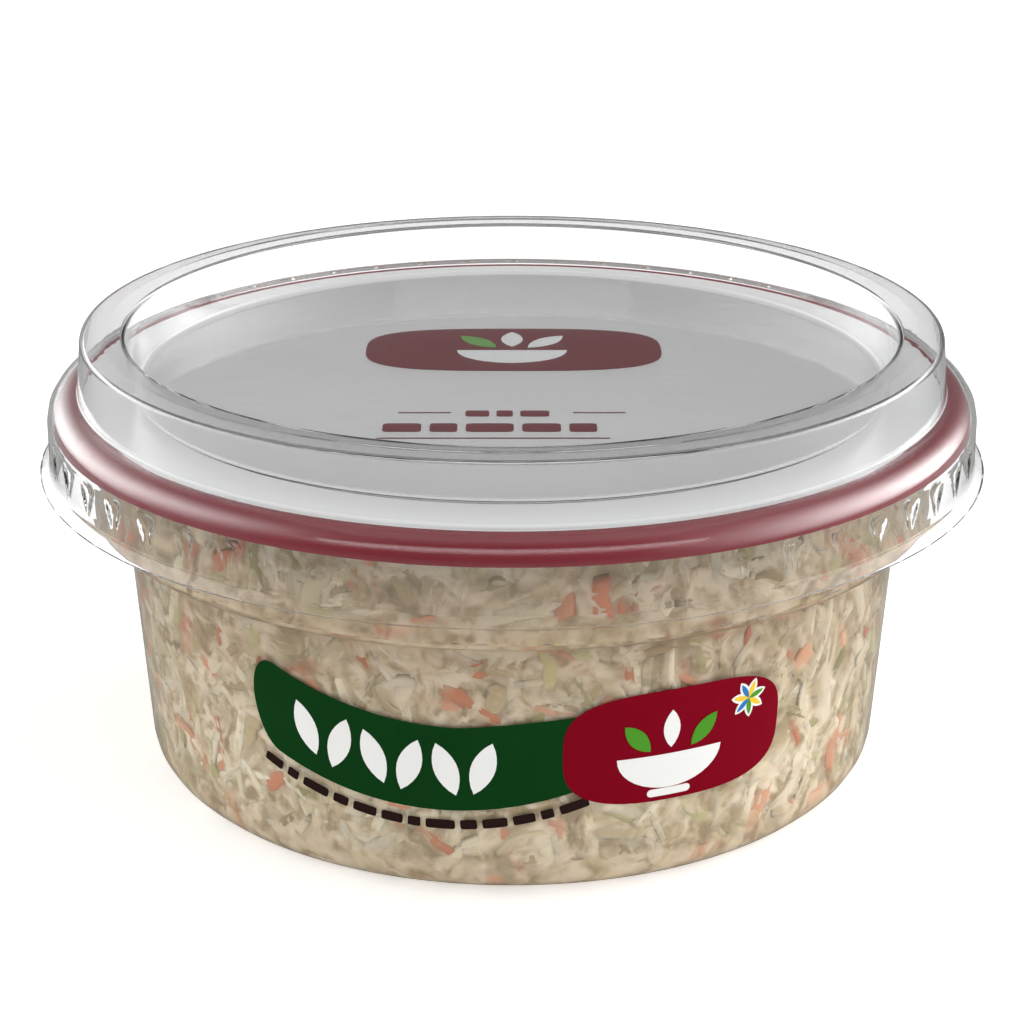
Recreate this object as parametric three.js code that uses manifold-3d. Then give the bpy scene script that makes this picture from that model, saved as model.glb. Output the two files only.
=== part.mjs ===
// A tub of coleslaw: a clear round tub, the salad that fills it, a printed seal film and a clear
// press-on lid. Millimetres, +Z up, origin at the centre of the tub's base.
import * as THREE from "three";
import { ConvexGeometry } from "three/addons/geometries/ConvexGeometry.js";
import { mergeVertices } from "three/addons/utils/BufferGeometryUtils.js";
import Module from "manifold-3d";

const wasm = await Module();
wasm.setup();

// Driving dimensions

const SIDES = 64; // facets round the tub, the film and the lid
const CORE_SIDES = 36; // facets round the salad's core
const ROUND_STEPS = 3; // facets on the large rounds
const EDGE_STEPS = 2; // facets on the small ones
const GAP = 0.3; // between pieces that touch

const TUB_WALL = 0.6;
const BASE_CORNER = 3.8; // radius of the rounded bottom edge
const BASE_RADIUS = 42.6; // lower wall, carried down to the base
const DRAFT = 0.068; // how much the lower wall widens for each millimetre up
const LEDGE_FOOT = 30.2; // height where the lower wall steps outwards to the collar
const LEDGE_BOTTOM = 30.6; // underside of that step at its outer edge
const LEDGE_ROUND = 0.9;
const COLLAR_RADIUS = 48.2; // at its foot
const COLLAR_SPREAD = 0.1; // how much wider it is under the flange
const FLANGE_RADIUS = 51.5;
const FLANGE_TOP = 43.25;
const FLANGE_ROUND = 1.9; // how its edge rolls over
const FLANGE_EDGE = 41.3; // lower end of the turned-down edge

const FILM = 0.3;
const FILM_RADIUS = FLANGE_RADIUS + GAP + FILM;
const FILM_TOP = FLANGE_TOP + GAP + FILM;
const FILM_EDGE = 41.3; // lower end of the rim over the flange

const LID_WALL = 0.45;
const PANEL_RADIUS = 42.7;
const PANEL_TOP = FILM_TOP + GAP + LID_WALL;
const PANEL_CORNER = 0.7; // bevel between the panel and the ring's inner wall
const RING_INNER = 43.8; // inner edge of the raised ring's top
const RING_OUTER = 48.7;
const RING_TOP = 51.0;
const RING_ROUND = 0.6;
const RING_FOOT = 49.3; // foot of the ring's outer wall
const RING_BEVEL = 0.5; // bevel at that foot
const SKIRT_RADIUS = FILM_RADIUS + GAP + LID_WALL;
const SKIRT_ROUND = 3.0;
const SKIRT_SPREAD = 0.15;
const LIP_RADIUS = 54.0;
const LIP_BOTTOM = 35.5;
const LIP_RISE = 1.1; // height of the flared lip

const DENTS = 56; // round the skirt, gripping under the film's rim
const DENT_TOP = 41.0;
const DENT_DEEPEST = 39.9;
const DENT_POINT = 37.8;
const DENT_WIDTH = 2.6;
const DENT_DEPTH = 0.9;

const FILL_TOP = FLANGE_TOP - 0.6;
const CORE_BEVEL = 1.2; // round the top of the core
const SHRED_RELIEF = 1.0; // how far the shreds stand out from the bound mass
const SHRED_SINK = 0.5; // how far they reach into it
const SHRED_LENGTHS = [7, 16];
const SHRED_WIDTHS = [1.6, 3.0];
const SHRED_TAPER = 0.4; // share of its width that a shred loses at its ends
const SHRED_TILTS = [-20, 20]; // degrees from level
const SHRED_DRIFT = [-0.5, 0.5]; // up or down from its row
const SHRED_STEPS = 2;
const ROWS = [
  { height: 6.5, count: 12 },
  { height: 12.5, count: 13 },
  { height: 18.5, count: 12 },
  { height: 24.5, count: 13 },
  { height: 37.4, count: 12 },
];

const CLEAR = { color: 0xe8ecec, roughness: 0.06, metalness: 0, transparent: true, opacity: 0.3 };
const FILM_LOOK = { color: 0x8a1f30, roughness: 0.3, metalness: 0 };
const SALAD_LOOK = { color: 0xcdbf9f, roughness: 0.45, metalness: 0 };

// Profiles, as [radius, height] points

const radians = (angle) => (angle * Math.PI) / 180;

// Points on an arc about a centre, from one angle to another: 0 points outwards, 90 up.
function arc(centreRadius, centreHeight, radius, from, to, steps) {
  return Array.from({ length: steps + 1 }, (_, i) => {
    const angle = radians(from + ((to - from) * i) / steps);
    return [centreRadius + radius * Math.cos(angle), centreHeight + radius * Math.sin(angle)];
  });
}

// Radius of the lower wall's outside at a height.
const wallRadius = (height) => BASE_RADIUS + DRAFT * height;

// The rounded bottom edge, moved inwards by an inset.
function baseCorner(inset, steps) {
  const centre = wallRadius(BASE_CORNER) - BASE_CORNER;
  return arc(centre, BASE_CORNER, BASE_CORNER - inset, -90, 0, steps);
}

// The tub's outline from its base up to the foot of its collar, moved inwards by an inset: 0 is
// the outside face, and TUB_WALL the inside.
function tubSide(inset) {
  const ledge = [COLLAR_RADIUS - LEDGE_ROUND, LEDGE_BOTTOM + LEDGE_ROUND];
  return [
    ...baseCorner(inset, ROUND_STEPS),
    [wallRadius(LEDGE_FOOT) - inset, LEDGE_FOOT + inset],
    ...arc(...ledge, LEDGE_ROUND - inset, -90, 0, EDGE_STEPS),
  ];
}

// Radius of the tub's inside face at a height.
function insideRadius(height) {
  const side = tubSide(TUB_WALL);
  const last = side[side.length - 1];
  side.push([last[0] + COLLAR_SPREAD, FLANGE_TOP]);
  const above = side.findIndex((point) => point[1] > height);
  const [lower, upper] = [side[above - 1], side[above]];
  const share = (height - lower[1]) / (upper[1] - lower[1]);
  return lower[0] + share * (upper[0] - lower[0]);
}

// Solids

// A closed profile turned round the Z axis.
function turned(profile, sides) {
  const points = profile.map(([radius, height]) => new THREE.Vector2(radius, height));
  return new THREE.LatheGeometry(points, sides).rotateX(Math.PI / 2);
}

function solidOf(geometry) {
  const bare = geometry.clone();
  bare.deleteAttribute("normal");
  bare.deleteAttribute("uv");
  const merged = mergeVertices(bare, 1e-4);
  return new wasm.Manifold(
    new wasm.Mesh({
      numProp: 3,
      vertProperties: merged.attributes.position.array,
      triVerts: new Uint32Array(merged.index.array),
    }),
  );
}

function geometryOf(solid) {
  const mesh = solid.getMesh();
  const geometry = new THREE.BufferGeometry();
  geometry.setAttribute("position", new THREE.BufferAttribute(mesh.vertProperties, 3));
  geometry.setIndex(new THREE.BufferAttribute(mesh.triVerts, 1));
  return geometry;
}

// Tub: a shell with a rounded base, a ledge, a collar and a flange whose edge rolls down.
function tubGeometry() {
  const underFlange = COLLAR_RADIUS + COLLAR_SPREAD;
  const roll = [FLANGE_RADIUS - FLANGE_ROUND, FLANGE_TOP - FLANGE_ROUND];
  return turned(
    [
      [0, 0],
      ...tubSide(0),
      [underFlange, FLANGE_TOP - TUB_WALL],
      ...arc(...roll, FLANGE_ROUND - TUB_WALL, 90, 0, EDGE_STEPS),
      [FLANGE_RADIUS - TUB_WALL, FLANGE_EDGE],
      [FLANGE_RADIUS, FLANGE_EDGE],
      ...arc(...roll, FLANGE_ROUND, 0, 90, ROUND_STEPS),
      [underFlange - TUB_WALL, FLANGE_TOP],
      ...tubSide(TUB_WALL).reverse(),
      [0, TUB_WALL],
    ],
    SIDES,
  );
}

// Seal film: a flat disc whose rim rolls down over the flange.
function filmGeometry() {
  const inner = FILM_RADIUS - FILM;
  const under = FILM_TOP - FILM;
  const roll = [FLANGE_RADIUS - FLANGE_ROUND, FLANGE_TOP - FLANGE_ROUND];
  return turned(
    [
      [0, under],
      ...arc(...roll, FLANGE_ROUND + GAP, 90, 0, ROUND_STEPS),
      [inner, FILM_EDGE],
      [FILM_RADIUS, FILM_EDGE],
      ...arc(...roll, FLANGE_ROUND + GAP + FILM, 0, 90, ROUND_STEPS),
      [0, FILM_TOP],
    ],
    SIDES,
  );
}

// The lid's outline from its centre to its lip. An inset of 0 is the upper face, and LID_WALL the
// lower one.
function lidSide(inset) {
  const outer = RING_ROUND - inset;
  const ringTop = RING_TOP - RING_ROUND;
  const corner = SKIRT_ROUND - inset;
  const shoulder = [SKIRT_RADIUS - SKIRT_ROUND, PANEL_TOP - SKIRT_ROUND];
  return [
    [0, PANEL_TOP - inset],
    [PANEL_RADIUS + inset - PANEL_CORNER, PANEL_TOP - inset],
    [PANEL_RADIUS + inset, PANEL_TOP - inset + PANEL_CORNER],
    ...arc(RING_INNER + RING_ROUND, ringTop, outer, 180, 90, EDGE_STEPS),
    ...arc(RING_OUTER - RING_ROUND, ringTop, outer, 90, 0, EDGE_STEPS),
    [RING_FOOT - inset, PANEL_TOP - inset + RING_BEVEL],
    [RING_FOOT - inset + RING_BEVEL, PANEL_TOP - inset],
    ...arc(...shoulder, corner, 90, 0, ROUND_STEPS),
    [SKIRT_RADIUS + SKIRT_SPREAD - inset, LIP_BOTTOM + LIP_RISE],
    [LIP_RADIUS - inset, LIP_BOTTOM],
  ];
}

// One dent as a four-cornered wedge: wide at the top, pointed below, deepest near the top. It is
// grown by a margin all round, and its outer face stands proud of the skirt.
function dentSolid(angle, grow, proud) {
  const face = SKIRT_RADIUS + proud;
  const half = DENT_WIDTH / 2 + grow;
  const corners = [
    new THREE.Vector3(face, -half, DENT_TOP + grow),
    new THREE.Vector3(face, half, DENT_TOP + grow),
    new THREE.Vector3(face, 0, DENT_POINT - grow),
    new THREE.Vector3(SKIRT_RADIUS - DENT_DEPTH - grow, 0, DENT_DEEPEST),
  ];
  return solidOf(new ConvexGeometry(corners).rotateZ(angle));
}

// Lid: recessed panel, raised stacking ring, shoulder, skirt with its dents, flared lip. Each dent
// first adds its own wall inside the skirt, and then its hollow is cut.
function lidGeometry() {
  const profile = [...lidSide(LID_WALL), ...lidSide(0).reverse()];
  let lid = solidOf(turned(profile, SIDES));
  for (let i = 0; i < DENTS; i++) {
    const angle = (i * 2 * Math.PI) / DENTS;
    lid = lid.add(dentSolid(angle, LID_WALL, -LID_WALL / 2));
    lid = lid.subtract(dentSolid(angle, 0, LID_WALL));
  }
  return geometryOf(lid);
}

// A repeatable draw between 0 and 1.
function drawer(seed) {
  let state = seed;
  return () => {
    state = (state * 16807) % 2147483647;
    return state / 2147483647;
  };
}

// One shred: a strip pressed flat against the tub's wall, leaning by a tilt.
function shredSolid({ angle, height, tilt, length, width }) {
  const thickness = SHRED_RELIEF + SHRED_SINK;
  const strip = new THREE.BoxGeometry(length, width, thickness, SHRED_STEPS, 1, 1);
  const place = strip.attributes.position;
  for (let i = 0; i < place.count; i++) {
    const taper = 1 - SHRED_TAPER * ((2 * place.getX(i)) / length) ** 2;
    const along = place.getX(i);
    const across = place.getY(i) * taper;
    const up = height + along * Math.sin(tilt) + across * Math.cos(tilt);
    const round = along * Math.cos(tilt) - across * Math.sin(tilt);
    const wall = insideRadius(up) - GAP;
    const radius = wall - thickness / 2 + place.getZ(i);
    const turn = angle + round / wall;
    place.setXYZ(i, radius * Math.cos(turn), radius * Math.sin(turn), up);
  }
  return solidOf(strip);
}

// Coleslaw: the bound mass, with the shreds that lie against the wall fused on.
function coleslawGeometry() {
  const inset = TUB_WALL + GAP + SHRED_RELIEF;
  const floor = TUB_WALL + GAP;
  const core = [
    [0, floor],
    ...baseCorner(inset, EDGE_STEPS).map(([radius, height]) => [radius, Math.max(height, floor)]),
    [wallRadius(LEDGE_FOOT) - inset, LEDGE_FOOT + inset],
    [COLLAR_RADIUS - inset, LEDGE_BOTTOM + inset],
    [COLLAR_RADIUS + COLLAR_SPREAD - inset, FILL_TOP - CORE_BEVEL],
    [COLLAR_RADIUS + COLLAR_SPREAD - inset - CORE_BEVEL, FILL_TOP],
    [0, FILL_TOP],
  ];
  const draw = drawer(1877);
  const between = ([low, high]) => low + (high - low) * draw();
  let salad = solidOf(turned(core, CORE_SIDES));
  for (const { height, count } of ROWS)
    for (let i = 0; i < count; i++) {
      const shred = {
        angle: ((i + draw() / 2) * 2 * Math.PI) / count,
        height: height + between(SHRED_DRIFT),
        tilt: radians(between(SHRED_TILTS)),
        length: between(SHRED_LENGTHS),
        width: between(SHRED_WIDTHS),
      };
      salad = salad.add(shredSolid(shred));
    }
  return geometryOf(salad);
}

// The scene graph

function piece(name, geometry, look) {
  const mesh = new THREE.Mesh(geometry, new THREE.MeshStandardMaterial(look));
  mesh.name = name;
  return mesh;
}

const coleslawTub = new THREE.Group();
coleslawTub.add(
  piece("tub", tubGeometry(), CLEAR),
  piece("coleslaw", coleslawGeometry(), SALAD_LOOK),
  piece("seal_film", filmGeometry(), FILM_LOOK),
  piece("lid", lidGeometry(), CLEAR),
);

export default coleslawTub;
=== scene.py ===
import math

import bpy
import numpy as np
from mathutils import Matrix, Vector, noise


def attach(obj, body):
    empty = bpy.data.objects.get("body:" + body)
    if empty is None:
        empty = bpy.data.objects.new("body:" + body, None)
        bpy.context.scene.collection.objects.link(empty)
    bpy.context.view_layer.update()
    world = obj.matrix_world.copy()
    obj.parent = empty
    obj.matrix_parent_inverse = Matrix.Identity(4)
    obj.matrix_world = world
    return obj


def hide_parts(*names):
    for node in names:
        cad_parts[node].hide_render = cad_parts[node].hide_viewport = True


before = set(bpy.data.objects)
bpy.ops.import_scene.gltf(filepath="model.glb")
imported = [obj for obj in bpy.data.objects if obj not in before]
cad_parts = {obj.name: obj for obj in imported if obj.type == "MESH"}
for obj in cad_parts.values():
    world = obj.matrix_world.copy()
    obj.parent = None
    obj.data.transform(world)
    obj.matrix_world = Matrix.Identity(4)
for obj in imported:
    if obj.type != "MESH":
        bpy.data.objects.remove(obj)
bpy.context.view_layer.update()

MM = 0.001
draw = np.random.default_rng(1877)

# Sizes in millimetres. The solids share them, but for the dents' depth and the smallest rounds.

TUB_WALL = 0.6
BASE_RADIUS = 42.6
BASE_CORNER = 3.8
DRAFT = 0.068
LEDGE_FOOT = 30.2
LEDGE_FOOT_ROUND = 0.5
LEDGE_BOTTOM = 30.6
LEDGE_ROUND = 0.9
COLLAR_RADIUS = 48.2
COLLAR_SPREAD = 0.1
NECK_ROUND = 0.4  # where the collar turns out into the flange
FLANGE_RADIUS = 51.5
FLANGE_TOP = 43.25
FLANGE_ROUND = 1.9
FLANGE_EDGE = 41.3

FILM = 0.3
FILM_RADIUS = 52.1
FILM_TOP = 43.85
FILM_EDGE = 41.3
FILM_ROUND = 2.5
FILM_WHITE = 49.1  # where the white print ends and the red ring begins

LID_WALL = 0.45
PANEL_TOP = 44.6
PANEL_RADIUS = 42.55
PANEL_ROUND = 0.7
RING_TOP = 51.0
RING_FALL = 0.12  # from the ridge to the ring's edges
RING_INNER = 43.75
RING_RIDGE = 46.2  # fine ridge round the middle of the ring's top
RIDGE_HALF = 0.25
RING_OUTER = 48.75
RING_ROUND = 0.6
RING_FOOT = 49.35
RING_FOOT_ROUND = 0.2
SKIRT_RADIUS = 52.85
SKIRT_ROUND = 3.0
SKIRT_ROWS = np.arange(41.2, 37.3, -0.35)  # heights of its edges, close enough for the dents
SKIRT_FLARE = 0.1
LIP_TOP = 36.6
LIP_ROUND = 0.6
LIP_RADIUS = 54.0
LIP_BOTTOM = 35.5
LIP_WIDTH = 0.4
LIP_BEVEL = (0.1, 0.15)  # across and up

DENTS = 56
DENT_TOP = 41.0
DENT_WIDEST = 40.5
DENT_DEEPEST = 39.9
DENT_POINT = 37.8
DENT_WIDTH = 2.6
DENT_DEPTH = 0.65
STEPS_PER_DENT = 16
STEPS_ROUND = 288  # of the tub and the film


# Camera

CAMERA_PLACE = (0, -0.2757, 0.1316)  # metres
CAMERA_TILT = 69.28  # degrees up from looking straight down
CAMERA_LENS = 88.3
CAMERA_SENSOR = 36


def place_camera():
    bpy.ops.object.camera_add(location=CAMERA_PLACE, rotation=(math.radians(CAMERA_TILT), 0, 0))
    camera = bpy.context.object
    camera.data.sensor_width = CAMERA_SENSOR
    camera.data.lens = CAMERA_LENS
    camera.data.clip_start = 0.01
    bpy.context.scene.camera = camera


# Outlines


def rounded(corners, steps=5):
    """The outline through (radius, height, round) corners, with an arc where the round isn't 0."""
    outline = []
    for i, (radius, height, size) in enumerate(corners):
        here = Vector((radius, height))
        if not size:
            outline.append(here)
            continue
        back = (Vector(corners[i - 1][:2]) - here).normalized()
        on = (Vector(corners[i + 1][:2]) - here).normalized()
        half = back.angle(on) / 2
        centre = here + (back + on).normalized() * size / math.sin(half)
        first = here + back * size / math.tan(half) - centre
        last = here + on * size / math.tan(half) - centre
        outline += [centre + size * first.slerp(last, k / steps) for k in range(steps + 1)]
    return outline


def evened(outline, spacing):
    """The same outline with its points at most a spacing apart."""
    points = [outline[0]]
    for here, there in zip(outline, outline[1:]):
        count = max(1, math.ceil((there - here).length / spacing))
        points += [here.lerp(there, (k + 1) / count) for k in range(count)]
    return points


def wall_radius(height):
    """Radius of the tub's lower wall outside."""
    return BASE_RADIUS + DRAFT * height


def tub_side(inset):
    """Corners of the tub's wall from its base up to the collar, moved inwards by an inset."""
    return [
        (wall_radius(inset) - inset, inset, BASE_CORNER - inset),
        (wall_radius(LEDGE_FOOT) - inset, LEDGE_FOOT + inset, LEDGE_FOOT_ROUND + inset),
        (COLLAR_RADIUS - inset, LEDGE_BOTTOM + inset, LEDGE_ROUND - inset),
    ]


def tub_outline():
    under_flange = COLLAR_RADIUS + COLLAR_SPREAD
    return rounded(
        [
            (0, 0, 0),
            *tub_side(0),
            (under_flange, FLANGE_TOP - TUB_WALL, NECK_ROUND),
            (FLANGE_RADIUS - TUB_WALL, FLANGE_TOP - TUB_WALL, FLANGE_ROUND - TUB_WALL),
            (FLANGE_RADIUS - TUB_WALL, FLANGE_EDGE, 0),
            (FLANGE_RADIUS, FLANGE_EDGE, 0),
            (FLANGE_RADIUS, FLANGE_TOP, FLANGE_ROUND),
            (under_flange - TUB_WALL, FLANGE_TOP, NECK_ROUND),
            *reversed(tub_side(TUB_WALL)),
            (0, TUB_WALL, 0),
        ]
    )


def film_outline():
    inner = FILM_RADIUS - FILM
    return rounded(
        [
            (0, FILM_TOP - FILM, 0),
            (inner, FILM_TOP - FILM, FILM_ROUND - FILM),
            (inner, FILM_EDGE, 0),
            (FILM_RADIUS, FILM_EDGE, 0),
            (FILM_RADIUS, FILM_TOP, FILM_ROUND),
            (0, FILM_TOP, 0),
        ],
        steps=7,
    )


def lid_side(inset):
    """Corners of the lid from its panel to its lip, moved into the plastic by an inset."""
    ring_edge = RING_TOP - RING_FALL - inset
    return [
        (0, PANEL_TOP - inset, 0),
        (PANEL_RADIUS + inset, PANEL_TOP - inset, PANEL_ROUND + inset),
        (RING_INNER + inset, ring_edge, RING_ROUND - inset),
        (RING_RIDGE - RIDGE_HALF, RING_TOP - inset, 0),
        (RING_RIDGE + RIDGE_HALF, RING_TOP - inset, 0),
        (RING_OUTER - inset, ring_edge, RING_ROUND - inset),
        (RING_FOOT - inset, PANEL_TOP - inset, RING_FOOT_ROUND + inset),
        (SKIRT_RADIUS - inset, PANEL_TOP - inset, SKIRT_ROUND - inset),
        *((SKIRT_RADIUS - inset, height, 0) for height in SKIRT_ROWS),
        (SKIRT_RADIUS - inset + SKIRT_FLARE, LIP_TOP, LIP_ROUND),
    ]


def lid_outline():
    across, up = LIP_BEVEL
    lip = [
        (LIP_RADIUS, LIP_BOTTOM + up, 0),
        (LIP_RADIUS - across, LIP_BOTTOM, 0),
        (LIP_RADIUS - (LIP_WIDTH - across), LIP_BOTTOM, 0),
        (LIP_RADIUS - LIP_WIDTH, LIP_BOTTOM + up, 0),
    ]
    return rounded([*lid_side(0), *lip, *reversed(lid_side(LID_WALL))], steps=4)


# Modelling

WELD = 1e-6  # metres within which points are merged
TINY = 1e-6  # millimetres, in place of 0 where a length divides


def begin(name, add, **where):
    """Adds a primitive with nothing else selected and goes into edit mode."""
    bpy.ops.object.select_all(action="DESELECT")
    add(**where)
    piece = bpy.context.object
    piece.name = piece.data.name = name
    bpy.ops.object.mode_set(mode="EDIT")
    return piece


def trace(points):
    """Draws a chain of edges through points in metres, from a plane merged to its centre."""
    bpy.ops.mesh.merge(type="CENTER")
    bpy.ops.transform.translate(value=points[0])
    for here, there in zip(points, points[1:]):
        bpy.ops.mesh.extrude_vertices_move(TRANSFORM_OT_translate={"value": there - here})
    bpy.ops.mesh.select_all(action="SELECT")


def settle(crease):
    """Leaves edit mode, shades smooth up to a crease angle and puts the place in the mesh."""
    bpy.ops.object.mode_set(mode="OBJECT")
    bpy.ops.object.transform_apply(location=True, rotation=True, scale=True)
    bpy.ops.object.shade_smooth_by_angle(angle=math.radians(crease))


def turned(name, outline, steps, crease=40, wedges=12):
    """An outline turned round the tub's axis as one wedge, which is copied all the way round."""
    piece = begin(name, bpy.ops.mesh.primitive_plane_add, size=MM)
    trace([Vector((p.x, 0, p.y)) * MM for p in outline])
    wedge = math.tau / wedges
    axis = {"center": (0, 0, 0), "axis": (0, 0, 1)}
    bpy.ops.mesh.spin(steps=steps // wedges, angle=wedge, **axis)
    bpy.ops.mesh.select_all(action="SELECT")
    bpy.ops.mesh.spin(steps=wedges - 1, dupli=True, angle=math.tau - wedge, **axis)
    bpy.ops.mesh.select_all(action="SELECT")
    bpy.ops.mesh.remove_doubles(threshold=WELD)
    bpy.ops.mesh.normals_make_consistent(inside=False)
    settle(crease)
    return piece


def modified(piece, kind, **settings):
    """Adds a modifier and applies it."""
    bpy.context.view_layer.objects.active = piece
    bpy.ops.object.modifier_add(type=kind)
    modifier = piece.modifiers[-1]
    for key, value in settings.items():
        setattr(modifier, key, value)
    bpy.ops.object.modifier_apply(modifier=modifier.name)


def corners_of(piece):
    """The piece's vertices in millimetres."""
    flat = np.empty(len(piece.data.vertices) * 3)
    piece.data.vertices.foreach_get("co", flat)
    return flat.reshape(-1, 3) / MM


def move_corners(piece, places):
    piece.data.vertices.foreach_set("co", (places * MM).ravel())
    piece.data.update()


def press_dents(lid):
    """Pushes the dents into the skirt: wide at the top, pointed below."""
    places = corners_of(lid)
    radius = np.maximum(np.hypot(places[:, 0], places[:, 1]), TINY)
    angle = np.arctan2(places[:, 1], places[:, 0])
    pitch = math.tau / DENTS
    across = np.abs((angle + pitch / 2) % pitch - pitch / 2) * SKIRT_RADIUS
    height = places[:, 2]
    half = DENT_WIDTH / 2 * (height - DENT_POINT) / (DENT_WIDEST - DENT_POINT)
    hollow = np.clip(1 - (across / np.clip(half, TINY, DENT_WIDTH / 2)) ** 2, 0, 1)
    rise = np.clip((DENT_TOP - height) / (DENT_TOP - DENT_DEEPEST), 0, 1)
    fall = np.clip((height - DENT_POINT) / (DENT_DEEPEST - DENT_POINT), 0, 1)
    share = np.sin(rise * math.pi / 2) * fall**0.8 * hollow**1.25
    inside = radius < SKIRT_RADIUS - 2 * LID_WALL
    share[inside | (height > DENT_TOP) | (height < DENT_POINT)] = 0
    places[:, :2] *= (1 - DENT_DEPTH * share / radius)[:, None]
    move_corners(lid, places)


# Salad


def wall_table():
    """The tub's inside face from its base's centre up: distance along, radius, height, normal."""
    top = (COLLAR_RADIUS + COLLAR_SPREAD - TUB_WALL, FLANGE_TOP, 0)
    points = np.array(evened(rounded([(0, TUB_WALL, 0), *tub_side(TUB_WALL), top]), 0.4))
    along = np.concatenate([[0], np.cumsum(np.hypot(*np.diff(points, axis=0).T))])
    slope = np.gradient(points, along, axis=0)
    slope /= np.hypot(*slope.T)[:, None]
    return along, points[:, 0], points[:, 1], slope[:, 1], -slope[:, 0]


WALL = wall_table()
WRAP = 44.0  # radius at which a millimetre round the tub is a millimetre
SPAN = math.tau * WRAP


def on_wall(across, along, depth):
    """Points by their millimetres round the tub, along its inside face and out into its wall."""
    radius, height, out, up = (np.interp(along, WALL[0], column) for column in WALL[1:])
    radius = radius + depth * out
    angle = across / WRAP - math.pi / 2
    flat = (radius * np.cos(angle), radius * np.sin(angle))
    return np.stack([*flat, height + depth * up], axis=-1)


def positive(value, sharpness):
    """A value where it is above 0, and 0 where it is below, with a smooth bend between."""
    return np.logaddexp(0, value * sharpness) / sharpness


# Distances along the inside face
LEDGE_START = float(np.interp(LEDGE_FOOT, WALL[2], WALL[0]))
LEDGE_END = LEDGE_START + COLLAR_RADIUS - wall_radius(LEDGE_FOOT) + 1.0  # clear of its round
CORNER_END = float(np.interp(BASE_CORNER, WALL[2], WALL[0]))
FIRST = BASE_RADIUS - 6  # where the pressed salad begins
LAST = WALL[0][-1] - 0.6

LEAST_REACH = 0.1  # of the salad into the tub's wall, at the wall's bends
MORE_REACH = 0.33  # added to it between them
BEND_MARGIN = 0.6
STOP_AT_LEDGE = 3  # how sharply the shreds stop at the ledge


def off_ledge(middle, along):
    """Keeps what has its middle below the tub's ledge below it, and the rest above it."""
    below = LEDGE_START - positive(LEDGE_START - along, STOP_AT_LEDGE)
    above = LEDGE_END + positive(along - LEDGE_END, STOP_AT_LEDGE)
    return np.where(middle < (LEDGE_START + LEDGE_END) / 2, below, above)


def on_base(across, forward, depth):
    """Points in millimetres on the tub's base, and down into it."""
    return np.stack([across, forward, TUB_WALL - depth], axis=-1)


def reach(along):
    """How far the salad swells into the wall: hardly at its bends, where it would glint."""
    from_ledge = np.maximum(LEDGE_START - BEND_MARGIN - along, along - LEDGE_END - BEND_MARGIN)
    from_corner = (along - CORNER_END + 1) / 2
    return LEAST_REACH + MORE_REACH * np.clip(from_ledge, 0, 1) * np.clip(from_corner, 0, 1)


SHRED_THICKNESS = (0.5, 0.9)


def lay(count, base_count, length, width, bend, tones):
    """Draws the place, size and colour of every shred of one kind. Sizes are ranges in mm."""
    total = count + base_count

    def between(low, high):
        return draw.uniform(low, high, (total, 1))

    first, second = (linear(tone) for tone in tones)
    return {
        "count": count,
        "total": total,
        "round": between(0, SPAN),
        "along": between(FIRST + 1, LAST),
        "heading": between(0, math.pi),
        "long": between(*length),
        "wide": between(*width),
        "thick": between(*SHRED_THICKNESS),
        "bend": between(-bend, bend),
        "taper": between(0.15, 0.55),
        "crest": between(-0.12, 0.42),
        "tone": (first + (second - first) * between(0, 1)) * between(0.84, 1.12),
    }


CELL = 0.25  # of the map of the pressed salad
HOLLOW = -0.05  # height of the bound salad where no shred lies
HOLLOW_SHADE = 0.85  # painted shade: the dressing's colour there is darkened to this share
SKIN = 0.35  # of dressing on each side of a buried shred
BURIED = 0.08  # how far it keeps below the crest of that shred
ARCH = 0.4  # its drop from the shred's middle to its edges
BLEND = 0.15  # rise in height over which the higher shred's colour takes over
UNSET = -9  # lower than any shred
MAPPED = ("round", "along", "heading", "long", "wide", "bend", "taper", "crest")


def pressed_map(kinds):
    """Height and colour of the bound salad over the unrolled wall, raised where a shred lies."""
    rows, columns = math.ceil((LAST + 1 - FIRST) / CELL), round(SPAN / CELL)
    height = np.full((rows, columns), HOLLOW)
    # painted shade in the hollows between shreds
    tone = np.tile(linear(DRESSING) * HOLLOW_SHADE, (rows, columns, 1))
    order = [(kind, i) for kind in kinds for i in range(kind["count"])]
    for k in draw.permutation(len(order)):
        kind, i = order[k]
        across, up, heading, long, wide, bend, taper, crest = (
            float(kind[key][i, 0]) for key in MAPPED
        )
        far = (long + wide) / 2
        left, right = math.floor((across - far) / CELL), math.ceil((across + far) / CELL)
        low, high = math.floor((up - FIRST - far) / CELL), math.ceil((up - FIRST + far) / CELL)
        xs = np.arange(left, right + 1)
        ys = np.arange(max(0, low), min(rows, high + 1))
        x, y = np.meshgrid(xs * CELL - across, ys * CELL + FIRST - up)
        u = x * math.cos(heading) + y * math.sin(heading)
        end = (2 * u / long) ** 2
        v = y * math.cos(heading) - x * math.sin(heading) - bend * long * end
        half = wide / 2 * (1 - taper * np.minimum(end, 1)) + SKIN
        arch = np.clip(1 - (v / half) ** 2, 0, 1) * np.clip(1 - end**3, 0, 1)
        spot = np.ix_(ys, xs % columns)
        lift = np.where(arch > 0, crest - BURIED - ARCH * (1 - arch), UNSET)
        gain = np.clip((lift - height[spot]) / BLEND, 0, 1)[..., None]
        tone[spot] += gain * (kind["tone"][i] - tone[spot])
        height[spot] = np.maximum(height[spot], lift)
    return height, tone


def softened(field):
    """A map with each cell averaged with its neighbours."""
    for axis in (0, 1):
        field = (np.roll(field, 1, axis) + 2 * field + np.roll(field, -1, axis)) / 4
    return field


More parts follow.
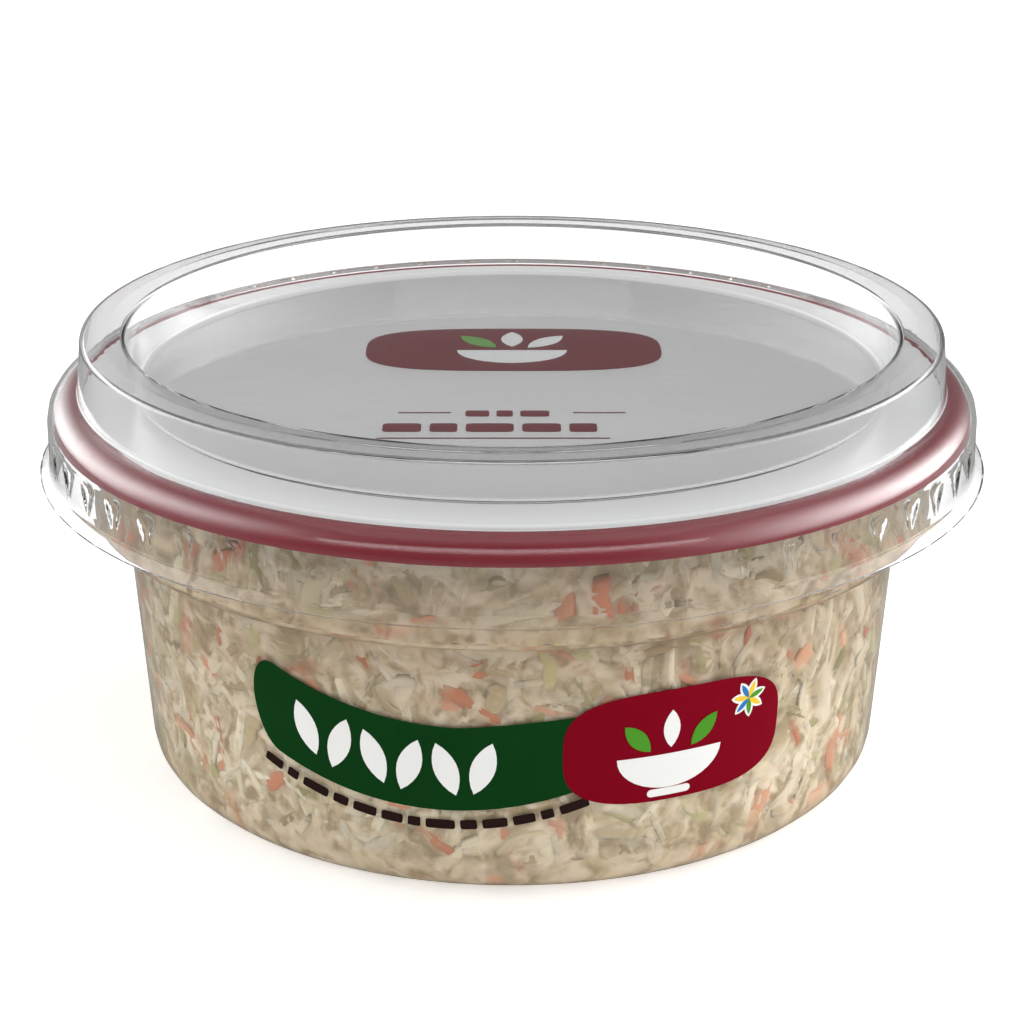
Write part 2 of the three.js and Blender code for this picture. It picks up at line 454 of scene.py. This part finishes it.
def sampled(field, across, up):
    """A map's values between its cells."""
    x, y = across / CELL, np.clip((up - FIRST) / CELL, 0, len(field) - 1.001)
    left, low = np.floor(x).astype(int), np.floor(y).astype(int)
    a, b = (x - left)[:, None], (y - low)[:, None]
    left, right = left % field.shape[1], (left + 1) % field.shape[1]
    lower = field[low, left] * (1 - a) + field[low, right] * a
    upper = field[low + 1, left] * (1 - a) + field[low + 1, right] * a
    return lower * (1 - b) + upper * b


BODY_ROWS = 116
BODY_STEPS = 720
BODY_TOP = FLANGE_TOP - 0.4
SWELLS = (2.2, 0.9)  # sizes of the dressing's broad and fine unevenness
SMEARED = 0.3  # height that smears of dressing fill hollows to


def dressing_body(kinds):
    """The bound salad: it reaches just into the tub's wall, and swells over the shreds in it."""
    rows = np.linspace(FIRST, LAST, BODY_ROWS)
    side = on_wall(WRAP * math.pi / 2, rows, LEAST_REACH)[:, [0, 2]]
    top = [(side[-1][0] - 1, BODY_TOP), (0, BODY_TOP)]
    outline = [Vector(point) for point in ((0, TUB_WALL - LEAST_REACH), *side, *top)]
    body = turned("dressing", outline, BODY_STEPS, crease=180)
    places = corners_of(body)
    flat = np.stack([np.hypot(places[:, 0], places[:, 1]), places[:, 2]], axis=-1)
    spots, spot_of = np.unique(flat.round(2), axis=0, return_inverse=True)
    apart = np.hypot(*(spots[:, None] - side[None]).transpose(2, 0, 1))
    nearest, miss = apart.argmin(axis=1)[spot_of.ravel()], apart.min(axis=1)[spot_of.ravel()]
    pressed = miss < 0.05
    along = rows[nearest[pressed]]
    x, y = places[pressed, 0], places[pressed, 1]
    across = (np.arctan2(y, x) + math.pi / 2) % math.tau * WRAP

    height, tone = (softened(field) for field in pressed_map(kinds))
    height = sampled(height[..., None], across, along)[:, 0]
    tone = sampled(tone, across, along)
    broad, fine = (
        np.array([noise.noise(Vector(place) / size) for place in places[pressed]])
        for size in SWELLS
    )
    smear = np.clip((broad + 0.5 * fine) * 2.2, 0, 1)
    height += (SMEARED - height) * 0.8 * smear * (height < SMEARED) + fine * 0.05
    shade = 0.7 + 0.3 * np.clip((height + 0.1) / 0.4, 0, 1)
    tone *= shade[:, None] ** np.array([1.0, 1.05, 1.2])
    height = np.clip(height, 0.05, reach(along))
    places[pressed] = on_wall(across, along, height)
    move_corners(body, places)
    tones = np.tile([*linear(DRESSING) * 0.9, 0.5], (len(places), 1))
    tones[pressed] = np.column_stack([tone, 0.35 + 0.4 * smear])
    painted(body, tones)
    return body


def painted(piece, tones):
    """Keeps a colour for each vertex, with the share of dressing over it."""
    attribute = piece.data.attributes.new("tone", "FLOAT_COLOR", "POINT")
    attribute.data.foreach_set("color", tones.ravel())


STATIONS = 6  # along a shred
SECTION = 6  # points round it
PRESSING = 14  # how sharply a shred is flattened where it meets the wall
BASE_SPREAD = 38.5  # how far out the shreds on the base lie
BASE_EDGE = 37.8  # and where their ends stop
SHREDS_TOP = FLANGE_TOP - 0.45


def strip_master():
    """One straight strip a unit long, wide and thick along X, whose copies are the shreds."""
    strip = begin(
        "strip",
        bpy.ops.mesh.primitive_circle_add,
        vertices=SECTION,
        radius=0.5,
        fill_type="NGON",
        location=(-0.5, 0, 0),
        rotation=(0, math.pi / 2, 0),
    )
    bpy.ops.mesh.select_all(action="SELECT")
    step = (1 / (STATIONS - 1), 0, 0)
    for _ in range(STATIONS - 1):
        bpy.ops.mesh.extrude_region_move(TRANSFORM_OT_translate={"value": step})
    bpy.ops.mesh.select_all(action="SELECT")
    bpy.ops.mesh.normals_make_consistent(inside=False)
    settle(180)
    return strip


def shreds(name, master, kind):
    """Copies of the strip, bent and pressed against the tub, as one mesh."""
    total, count = kind["total"], kind["count"]

    def between(low, high):
        return draw.uniform(low, high, (total, 1))

    unit = corners_of(master) * MM
    x, y, z = unit.T
    long, thick, heading = kind["long"], kind["thick"], kind["heading"]
    end = (2 * x) ** 2
    taper = 1 - kind["taper"] * end**2
    roll = between(-0.12, 0.12) + between(-0.35, 0.35) * x
    flat_y, flat_z = y * kind["wide"] * taper, z * thick * taper
    across = flat_y * np.cos(roll) - flat_z * np.sin(roll)
    out = flat_y * np.sin(roll) + flat_z * np.cos(roll)
    across = across + kind["bend"] * long * end
    across = across + between(-0.2, 0.2) * np.sin(math.pi * (2.4 * x + between(0, 2)))
    right = x * long * np.cos(heading) - across * np.sin(heading)
    up = x * long * np.sin(heading) + across * np.cos(heading)
    most = between(0.36, 0.45)
    depth = kind["crest"] - thick / 2 + out - between(0.0, 0.5) * end
    along = off_ledge(kind["along"], kind["along"] + up)
    most = np.minimum(most, reach(along) * 1.5 - 0.2)
    depth = most - positive(most - depth, PRESSING)
    side = on_wall((kind["round"] + right)[:count], along[:count], depth[:count])
    turn, far = between(0, math.tau), np.sqrt(between(0, 1)) * BASE_SPREAD
    across, forward = (far * np.cos(turn) + right)[count:], (far * np.sin(turn) + up)[count:]
    inwards = np.minimum(1, BASE_EDGE / np.hypot(across, forward))
    base = on_base(across * inwards, forward * inwards, depth[count:])
    places = np.concatenate([side, base]).reshape(-1, 3)
    places[:, 2] = np.minimum(places[:, 2], SHREDS_TOP)

    loops = np.array([v for face in master.data.polygons for v in face.vertices])
    sizes = np.tile([len(face.vertices) for face in master.data.polygons], total)
    corners = (loops[None] + np.arange(total)[:, None] * len(unit)).ravel()
    mesh = bpy.data.meshes.new(name)
    mesh.vertices.add(len(places))
    mesh.vertices.foreach_set("co", (places * MM).ravel())
    mesh.loops.add(len(corners))
    mesh.loops.foreach_set("vertex_index", corners)
    mesh.polygons.add(len(sizes))
    mesh.polygons.foreach_set("loop_start", np.concatenate([[0], np.cumsum(sizes)[:-1]]))
    mesh.update(calc_edges=True)
    mesh.shade_smooth()
    piece = bpy.data.objects.new(name, mesh)
    bpy.context.collection.objects.link(piece)
    tones = np.empty((total, len(unit), 4))
    tones[..., :3] = kind["tone"][:, None]
    outer = np.maximum(end, 1.2 * (2 * y) ** 2)
    tones[..., 3] = np.clip(outer * 0.9 + between(-0.3, 0.35), 0, 1)
    painted(piece, tones)
    return piece


# Print

INK = 0.03  # thickness of a layer of print
UPRIGHT = 1.57


def pill(x, y, width, height, steps=8):
    """A bar with round ends."""
    half = height / 2
    straight = width / 2 - half
    points = []
    for side in (1, -1):
        for k in range(steps + 1):
            turn = math.pi * (k / steps - side / 2)
            points.append((side * straight + half * math.cos(turn), half * math.sin(turn)))
    return placed(points, x, y)


def leaf(x, y, length, width, tilt, steps=9):
    """A pointed leaf."""
    points = []
    for side in (1, -1):
        for k in range(steps):
            swell = math.sin(math.pi * k / steps) ** 0.8
            points.append((side * length * (k / steps - 0.5), side * width / 2 * swell))
    return placed(points, x, y, tilt)


def rosette(x, y, length, width, petals):
    """Leaves round a point, by their directions."""
    half = length / 2
    return [
        leaf(x + half * math.cos(turn), y + half * math.sin(turn), length, width, turn)
        for turn in petals
    ]


def bowl(x, y, width, depth, steps=18):
    """A half round bowl with a flat rim."""
    turns = [math.pi * k / steps for k in range(steps + 1)]
    points = [(width / 2 * math.cos(turn), -depth * math.sin(turn)) for turn in turns]
    return placed(points, x, y)


def patch(x, y, width, height, power=3.2, steps=64, tilt=0.0):
    """A soft-cornered oblong."""
    points = []
    for k in range(steps):
        c, s = math.cos(math.tau * k / steps), math.sin(math.tau * k / steps)
        right = width / 2 * math.copysign(abs(c) ** (2 / power), c)
        up = height / 2 * math.copysign(abs(s) ** (2 / power), s)
        points.append((right, up))
    return placed(points, x, y, tilt)


def bar(x, y, width, height, tilt=0.0):
    """A bar with slightly soft corners."""
    return patch(x, y, width, height, 7.0, 24, tilt)


def placed(points, x, y, tilt=0.0):
    """Points turned by a tilt and moved."""
    c, s = math.cos(tilt), math.sin(tilt)
    return [(x + a * c - b * s, y + a * s + b * c) for a, b in points]


def band(lower, upper, left, right, steps=60, end=3.0):
    """A strip between two curves, with rounded ends."""
    spots = (left + right) / 2 - (right - left) / 2 * np.cos(np.linspace(0, math.pi, steps))
    inwards = np.clip(np.minimum(spots - left, right - spots) / end, 0, 1)
    close = np.sqrt(1 - (1 - inwards) ** 2)
    middle = [(lower(x) + upper(x)) / 2 for x in spots]
    half = [(upper(x) - lower(x)) / 2 * c for x, c in zip(spots, close)]
    top = [(x, m + h) for x, m, h in zip(spots, middle, half)]
    bottom = [(x, m - h) for x, m, h in zip(spots, middle, half)]
    return bottom + top[-2:0:-1]


def dashes(widths, gap, left, right):
    """Middles and widths of dashes that fill a line, their widths taken in turn."""
    made, x, k = [], left, 0
    while x + widths[k % len(widths)] <= right:
        made.append((x + widths[k % len(widths)] / 2, widths[k % len(widths)]))
        x += widths[k % len(widths)] + gap
        k += 1
    return made


def filled(name, shapes, cut=None):
    """Closed outlines filled as flat faces, cut into strips where they will be wrapped."""
    made = []
    for shape in shapes:
        piece = begin(name, bpy.ops.mesh.primitive_plane_add, size=MM)
        trace([Vector((x, y, 0)) * MM for x, y in shape])
        bpy.ops.mesh.edge_face_add()
        bpy.ops.mesh.normals_make_consistent(inside=False)
        if cut:
            left, right = min(x for x, _ in shape), max(x for x, _ in shape)
            for k in range(math.ceil(left / cut), math.floor(right / cut) + 1):
                bpy.ops.mesh.select_all(action="SELECT")
                bpy.ops.mesh.bisect(plane_co=(k * cut * MM, 0, 0), plane_no=(1, 0, 0))
        bpy.ops.object.mode_set(mode="OBJECT")
        bpy.ops.object.transform_apply(location=True, rotation=True, scale=True)
        if piece.data.polygons[0].normal.z < 0:
            piece.data.flip_normals()
        made.append(piece)
    for piece in made:
        piece.select_set(True)
    bpy.context.view_layer.objects.active = made[0]
    if len(made) > 1:
        bpy.ops.object.join()
    piece = bpy.context.object
    piece.name = piece.data.name = name
    return piece


def inked(piece, places):
    """Moves flat print to its places and gives it its thickness."""
    move_corners(piece, places)
    modified(piece, "SOLIDIFY", thickness=INK * MM, offset=1.0)
    return piece


def wall_print(name, shapes, layer):
    """Print on the tub's wall: x runs round it from the front and y is the height."""
    piece = filled(name, shapes, cut=1.0)
    across, height, _ = corners_of(piece).T
    radius = wall_radius(height) + INK * (layer + 0.5)
    angle = across / WRAP - math.pi / 2
    places = (radius * np.cos(angle), radius * np.sin(angle), height)
    return inked(piece, np.stack(places, axis=-1))


def film_print(name, shapes, layer):
    """Print on the seal film's flat top."""
    piece = filled(name, shapes)
    places = corners_of(piece)
    places[:, 2] = FILM_TOP + INK * (layer + 0.5)
    return inked(piece, places)


# Materials


class Signal:
    """A shader socket. Arithmetic on signals adds Math nodes."""

    def __init__(self, finish, socket):
        self.finish, self.socket = finish, socket

    def maths(self, operation, *values):
        numbered = dict(enumerate(values))
        return self.finish.node("ShaderNodeMath", {"operation": operation}, numbered)

    def __add__(self, other):
        return self.maths("ADD", self, other)

    def __sub__(self, other):
        return self.maths("SUBTRACT", self, other)

    def __rsub__(self, other):
        return self.maths("SUBTRACT", other, self)

    def __mul__(self, other):
        return self.maths("MULTIPLY", self, other)

    def __pow__(self, other):
        return self.maths("POWER", self, other)

    def __gt__(self, other):
        return self.maths("GREATER_THAN", self, other)

    __radd__ = __add__
    __rmul__ = __mul__

    def ramp(self, low, high):
        """0 below low, 1 above high and smooth between."""
        return self.finish.node(
            "ShaderNodeMapRange",
            {"interpolation_type": "SMOOTHSTEP"},
            {"Value": self, "From Min": low, "From Max": high},
        )


class Finish:
    """The nodes of a material or a world as they are put together."""

    def __init__(self, owner, place="Object"):
        self.owner = owner
        owner.use_nodes = True
        self.tree = owner.node_tree
        self.tree.nodes.clear()
        self.place = self.node("ShaderNodeTexCoord", output=place)

    def node(self, kind, settings=None, values=None, output=0):
        """Adds a node, its settings first and then the values or links of its sockets."""
        made = self.tree.nodes.new(kind)
        for key, value in (settings or {}).items():
            setattr(made, key, value)
        for key, value in (values or {}).items():
            if isinstance(value, Signal):
                self.tree.links.new(value.socket, made.inputs[key])
            else:
                made.inputs[key].default_value = value
        return None if output is None else Signal(self, made.outputs[output])

    def noise(self, size, detail, roughness=0.5, distortion=0.0):
        """Noise between 0 and 1 whose features are about a size in millimetres."""
        return self.node(
            "ShaderNodeTexNoise",
            values={
                "Vector": self.place,
                "Scale": 1 / (size * MM),
                "Detail": detail,
                "Roughness": roughness,
                "Distortion": distortion,
            },
        )

    def mix(self, share, first, second, blend="MIX"):
        """A blend of two colours."""
        settings = {"data_type": "RGBA", "blend_type": blend}
        values = {0: share, 6: colour(first), 7: colour(second)}
        return self.node("ShaderNodeMix", settings, values, 2)

    def bump(self, height, strength, distance):
        """A normal from a height, whose distance is in millimetres."""
        values = {"Height": height, "Strength": strength, "Distance": distance * MM}
        return self.node("ShaderNodeBump", values=values)

    def surface(self, **sockets):
        values = {key.replace("_", " "): colour(value) for key, value in sockets.items()}
        return self.node("ShaderNodeBsdfPrincipled", values=values)

    def vector(self, operation, *values, output=0):
        numbered = dict(enumerate(values))
        return self.node("ShaderNodeVectorMath", {"operation": operation}, numbered, output)

    def end(self, shader, kind="ShaderNodeOutputMaterial"):
        self.node(kind, values={"Surface": shader}, output=None)
        return self.owner


def linear(value):
    """A display colour, as red, green and blue up to 255, made linear."""
    shares = [v / 255 for v in value]
    return np.array([s / 12.92 if s <= 0.04045 else ((s + 0.055) / 1.055) ** 2.4 for s in shares])


def colour(value):
    """A display colour as a socket takes it. Anything else is unchanged."""
    if not isinstance(value, tuple) or len(value) != 3 or max(value) <= 1:
        return value
    return (*linear(value).tolist(), 1)


WAVES = 12  # millimetres from wave to wave in the plastic
EDGE_ON_SHADE = (0.68, 0.69, 0.69, 1)  # painted shade: darker tint of plastic seen edge on, for the dark lines at its edges
STRAIGHT_THROUGH = (0.93, 0.935, 0.935, 1)


def clear_plastic(name, tint, bend):
    """Clear moulded plastic, which lets light from lamps straight through."""
    finish = Finish(bpy.data.materials.new(name))
    ripple = finish.noise(WAVES, 1.0) * 0.7 + finish.noise(WAVES / 4, 1.0) * 0.3
    edge_on = finish.node("ShaderNodeLayerWeight", values={"Blend": 0.5}, output="Facing")
    # painted shade: the tint darkens where the plastic is seen edge on
    tint = finish.mix(edge_on.ramp(0.5, 1.0), (tint, tint, tint, 1), EDGE_ON_SHADE)
    glass = finish.surface(
        Base_Color=tint,
        Roughness=0.0,
        IOR=bend,
        Transmission_Weight=1.0,
        Normal=finish.bump(ripple, 0.15, 0.2),
    )
    clear = finish.node("ShaderNodeBsdfTransparent", values={"Color": STRAIGHT_THROUGH})
    soft = finish.node("ShaderNodeLightPath", output="Is Diffuse Ray")
    shadow = finish.node("ShaderNodeLightPath", output="Is Shadow Ray")
    lit = finish.node("ShaderNodeMixShader", values={0: soft, 1: glass, 2: clear})
    return finish.end(finish.node("ShaderNodeMixShader", values={0: shadow, 1: lit, 2: clear}))


def film_finish():
    """Printed film: white with painted light that makes it brighter under the lid's ring, and a
    dark red ring and rim.
    """
    finish = Finish(bpy.data.materials.new("printed_seal_film"))
    flat = finish.vector("MULTIPLY", finish.place, (1, 1, 0))
    radius = finish.vector("LENGTH", flat, output="Value")
    cloud = finish.noise(14, 3.0)
    white = finish.mix(cloud, (218, 217, 217), (224, 223, 223))
    # painted light: the white brightens from the panel's edge out under the ring, and stays greyer
    # under the panel
    white = finish.mix(radius.ramp(0.042, 0.049), white, (240, 240, 240))
    red = finish.mix(cloud, (121, 0, 24), (129, 1, 29))
    return finish.end(
        finish.surface(
            Base_Color=finish.mix(radius > FILM_WHITE * MM, white, red),
            Roughness=0.2 + cloud * 0.06,
            IOR=1.8,
            Normal=finish.bump(finish.noise(9, 2.0), 0.25, 0.35),
        )
    )


def ink(name, first, second):
    """Ink with a faint mottle."""
    finish = Finish(bpy.data.materials.new(name))
    cloud = finish.noise(6, 3.0)
    grain = finish.noise(0.5, 2.0)
    return finish.end(
        finish.surface(
            Base_Color=finish.mix(cloud, first, second),
            Roughness=0.3 + grain * 0.12,
            Specular_IOR_Level=0.03,
        )
    )


DRESSING = (207, 188, 157)
# partly painted highlight: pale dressing patches stand in for soft wet highlights
DRESSING_PALE_AND_SHEEN = (229, 214, 189)
# partly painted shade: deep dressing patches stand in for shade in gaps between pieces
DRESSING_DEEP_AND_SHADE = (156, 138, 109)
SALAD_SHADE = (0.72, 0.68, 0.665, 1)  # multiplies its colours towards the film and the base


def salad_finish(name, bareness, relief, roughness):
    """Moist salad in its own colours, under a mottle of dressing that runs on between pieces; the
    mottle's pale and deep patches are partly painted highlight and painted shade, and painted shade
    darkens it towards the film and the base.
    """
    finish = Finish(bpy.data.materials.new(name))
    tone = finish.node("ShaderNodeAttribute", {"attribute_name": "tone"}, output="Color")
    share = Signal(finish, tone.socket.node.outputs["Alpha"])
    fine = finish.noise(0.8, 3.0, 0.5)
    blot = finish.noise(3.1, 3.0, 0.52, 1.0)
    cloud = finish.noise(7.0, 2.0, 0.5, 0.8)
    # pale patches: dressing colour and painted highlight
    coat_sheen_shade = finish.mix((blot + cloud * 0.5).ramp(0.66, 0.92), DRESSING, DRESSING_PALE_AND_SHEEN)
    # darker patches: dressing colour and painted shade in gaps
    coat_sheen_shade = finish.mix((blot + fine * 0.3).ramp(0.69, 0.43) * 0.75, coat_sheen_shade, DRESSING_DEEP_AND_SHADE)
    base = finish.mix((share + cloud * 0.8 - bareness).ramp(0.4, 1.2), tone, coat_sheen_shade)
    # more darker patches, partly painted shade, over the salad's own colours
    base = finish.mix((blot + fine * 0.3).ramp(0.6, 0.42) * 0.35, base, DRESSING_DEEP_AND_SHADE)
    height = finish.node("ShaderNodeSeparateXYZ", values={"Vector": finish.place}, output="Z")
    shaded = height.ramp(0.008, 0.032) + height.ramp(0.012, -0.002) * 0.7
    base = finish.mix(shaded, base, SALAD_SHADE, "MULTIPLY")
    return finish.end(
        finish.surface(
            Base_Color=base,
            Roughness=roughness + fine * 0.2,
            Specular_IOR_Level=0.25,
            Subsurface_Weight=0.35,
            Subsurface_Radius=(1.0, 0.8, 0.55),
            Subsurface_Scale=0.0015,
            Normal=finish.bump(blot * 0.8 + fine * 0.2, relief, 0.3),
        )
    )


MIRRORED_FLOOR = (0.3, 0.3, 0.3, 1)
MIRRORED_GLOW = (0.12, 0.12, 0.12, 1)


def floor_finish():
    """A pale floor that glows a little, as a light table does, and glows more near the tub as
    painted light that lifts its shadow. Mirrored, it is dim.
    """
    finish = Finish(bpy.data.materials.new("pale_floor"))
    cloud = finish.noise(60, 2.0)
    away = finish.vector("LENGTH", finish.place, output="Value").ramp(0.04, 0.3)
    mirrored = finish.node("ShaderNodeLightPath", output="Glossy Depth") > 0.5
    pale = finish.mix(cloud, (247, 247, 247), (249, 249, 249))
    # painted light: the glow is brightest near the tub, where the tub's shadow falls
    glow = finish.mix(away, (1, 1, 1, 1), (0.8, 0.8, 0.8, 1))
    return finish.end(
        finish.surface(
            Base_Color=finish.mix(mirrored, pale, MIRRORED_FLOOR),
            Roughness=0.75,
            Emission_Color=finish.mix(mirrored, glow, MIRRORED_GLOW),
            Emission_Strength=0.36,
        )
    )


# Studio

SURROUNDINGS = 0.2
# Soft bright patches in them: degrees around and up, how tight and how bright
PATCHES = (
    (130, 10, 22, 2.6),
    (156, 16, 16, 3.0),
    (182, 30, 14, 2.4),
    (14, 18, 12, 3.0),
    (0, 24, 7, 1.7),
    (-16, 6, 9, 1.2),
    (31, 9, 26, 4.2),
)
# Degrees around and up, distance, width and height in metres, and brightness
SOFTBOXES = {
    "front_softbox": (-90, 43, 1.2, 2.0, 0.24, 2.25),
    "overhead_softbox": (90, 80, 1.3, 1.2, 1.2, 0.4),
}


def direction(around, up):
    """A unit vector by its angles in degrees round from +X and up from the floor."""
    around, up = math.radians(around), math.radians(up)
    level = math.cos(up)
    return Vector((math.cos(around) * level, math.sin(around) * level, math.sin(up)))


def studio_world():
    """Pale surroundings with soft bright patches."""
    finish = Finish(bpy.data.worlds.new("studio"), "Generated")
    towards = finish.vector("NORMALIZE", finish.place)
    glow = SURROUNDINGS
    for around, up, tightness, bright in PATCHES:
        near = finish.vector("DOT_PRODUCT", towards, direction(around, up), output="Value")
        glow = near.maths("MAXIMUM", near, 0.0) ** tightness * bright + glow
    background = finish.node("ShaderNodeBackground", values={"Color": glow, "Strength": 1.0})
    return finish.end(background, "ShaderNodeOutputWorld")


def studio():
    """The floor, the surroundings and the lamps."""
    bpy.ops.object.select_all(action="DESELECT")
    bpy.ops.mesh.primitive_plane_add(size=6, location=(0, 0, -0.05 * MM))
    floor = bpy.context.object
    floor.name = floor.data.name = "studio_floor"
    floor.data.materials.append(floor_finish())

    scene = bpy.context.scene
    scene.world = studio_world()
    scene.view_settings.view_transform = "Standard"
    # Light crosses many faces of clear plastic, and is mirrored to and fro in the ring
    scene.cycles.max_bounces = 48
    scene.cycles.transmission_bounces = 48
    scene.cycles.glossy_bounces = 20
    for name, (around, up, distance, width, height, glow) in SOFTBOXES.items():
        towards = direction(around, up)
        bpy.ops.object.light_add(type="AREA", location=towards * distance)
        lamp = bpy.context.object
        lamp.name = lamp.data.name = name
        lamp.data.shape = "RECTANGLE"
        lamp.data.size, lamp.data.size_y = width, height
        lamp.data.energy = glow * math.pi * width * height
        lamp.rotation_euler = towards.to_track_quat("Z", "Y").to_euler()


def finished(piece, finish, slot, *nodes):
    """Gives a piece its material and its body, and hides the solids that it stands for. The slot is
    not used.
    """
    piece.data.materials.clear()
    piece.data.materials.append(finish)
    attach(piece, "root")
    if nodes:
        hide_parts(*nodes)


# The pieces

place_camera()

tub = turned("clear_tub", tub_outline(), STEPS_ROUND)
modified(tub, "WEIGHTED_NORMAL", keep_sharp=True)
finished(tub, clear_plastic("clear_tub_plastic", 0.985, 1.38), "clear_tub", "tub")

lid = turned("clear_lid", lid_outline(), DENTS * STEPS_PER_DENT, wedges=DENTS)
press_dents(lid)
modified(lid, "WEIGHTED_NORMAL", keep_sharp=True)
finished(lid, clear_plastic("clear_lid_plastic", 0.97, 1.34), "clear_lid", "lid")

film = turned("seal_film_disc", film_outline(), STEPS_ROUND)
modified(film, "WEIGHTED_NORMAL", keep_sharp=True)
finished(film, film_finish(), "seal_film", "seal_film")

pale_tones = ((241, 226, 196), (223, 204, 169))
creamy_tones = ((217, 198, 162), (179, 157, 120))
green_tones = ((204, 194, 146), (156, 146, 102))
carrot_tones = ((228, 172, 138), (204, 132, 100))
kinds = {
    "pale_cabbage": lay(1950, 160, (3.5, 12), (1.0, 3.0), 0.2, pale_tones),
    "creamy_cabbage": lay(1950, 160, (2.5, 9), (1.0, 3.0), 0.22, creamy_tones),
    "green_cabbage": lay(700, 60, (3, 8), (1.0, 2.6), 0.25, green_tones),
    "carrot_shreds": lay(620, 50, (3.5, 10), (1.4, 3.0), 0.14, carrot_tones),
}
body = dressing_body(list(kinds.values()))
finished(body, salad_finish("creamy_dressing", 0.0, 0.16, 0.4), "coleslaw", "coleslaw")
master = strip_master()
for name, kind in kinds.items():
    bareness = 0.4 if name == "carrot_shreds" else 0.1
    finish = salad_finish(name, bareness, 0.12, 0.38)
    finished(shreds(name, master, kind), finish, "coleslaw", "coleslaw")
bpy.data.objects.remove(master)


def lower_edge(x):
    """Height of the green band's lower edge."""
    return 10.4 + 0.0105 * (x + 8.0) ** 2


def upper_edge(x):
    """Height of the green band's upper edge, which straightens towards the red patch."""
    return 20.2 + (0.0095 * (x + 5.5) ** 2 if x < -5.5 else 0.1 * (x + 5.5))


green = wall_print("green_band", [band(lower_edge, upper_edge, -29.3, 14.0)], 0)
finished(green, ink("green_ink", (8, 54, 18), (12, 60, 22)), "clear_tub")
rule = [
    bar(x, lower_edge(x) - 1.7, width, 1.1, math.atan(0.021 * (x + 8.0)))
    for x, width in dashes((2.4, 1.4, 3.2, 1.8, 2.7), 0.55, -28.4, 12.5)
]
rule = wall_print("dark_rule", rule, 0)
finished(rule, ink("dark_ink", (34, 20, 18), (42, 26, 24)), "clear_tub")
red = wall_print("red_patch", [patch(18.0, 16.9, 25.5, 13.0)], 1)
finished(red, ink("red_ink", (117, 0, 21), (124, 1, 26)), "clear_tub")
flower = (26.3, 20.3)
marks = [bowl(17.0, 15.9, 12.0, 4.0), pill(17.0, 11.4, 5.0, 0.9)]
marks += [leaf(17.0, 18.8, 4.4, 1.9, UPRIGHT)]
marks += rosette(*flower, 2.3, 1.1, np.arange(0.3, 6.5, 0.9))
for k, x in enumerate((-22.5, -18.6, -14.7, -10.8, -6.9, -3.0)):
    tilt = 1.25 if k % 2 else 1.9
    marks.append(leaf(x, (lower_edge(x) + upper_edge(x)) / 2, 6.4, 2.6, tilt))
white = wall_print("white_marks", marks, 2)
finished(white, ink("white_ink", (228, 228, 226), (234, 234, 232)), "clear_tub")
side_leaves = [leaf(13.2, 18.1, 4.4, 1.9, 2.3), leaf(20.8, 18.1, 4.4, 1.9, 0.85)]
accents = {
    "green": ((78, 150, 44), side_leaves, (0.3, 4.8)),
    "yellow": ((240, 200, 60), [], (1.2, 3.0, 5.7)),
    "blue": ((50, 120, 190), [], (2.1, 3.9)),
}
for name, (bright, shapes, petals) in accents.items():
    accent = wall_print(f"{name}_leaves", shapes + rosette(*flower, 2.0, 0.6, petals), 3)
    deep = tuple(v * 0.92 for v in bright)
    finished(accent, ink(f"{name}_leaf_ink", bright, deep), "clear_tub")

shapes = [patch(0.2, 10.0, 35.0, 17.0)]
shapes += [bar(x, -14.0, width, 2.0) for x, width in dashes((2.6, 1.8, 3.2), 0.8, -5.1, 5.1)]
shapes += [bar(x, -18.8, width, 2.8) for x, width in dashes((4.2, 3.0, 5.2), 0.9, -14.0, 14.2)]
shapes += [pill(side * 9.6, -13.7, 5.8, 0.3) for side in (-1, 1)]
shapes += [pill(-2.0, -22.3, 25.0, 0.3)]
film_red = film_print("film_red_print", shapes, 0)
finished(film_red, ink("film_red_ink", (98, 4, 18), (106, 8, 24)), "seal_film")
marks = [bowl(0, 9.5, 13.0, 5.0), leaf(0, 14.0, 6.0, 2.6, UPRIGHT), leaf(4.0, 13.0, 6.4, 2.6, 0.85)]
film_white = film_print("film_white_marks", marks, 1)
finished(film_white, ink("film_white_ink", (225, 225, 225), (232, 232, 232)), "seal_film")
film_leaf = film_print("film_green_leaf", [leaf(-4.0, 13.0, 6.4, 2.6, 2.3)], 1)
finished(film_leaf, ink("film_leaf_ink", (92, 150, 62), (100, 158, 68)), "seal_film")

studio()
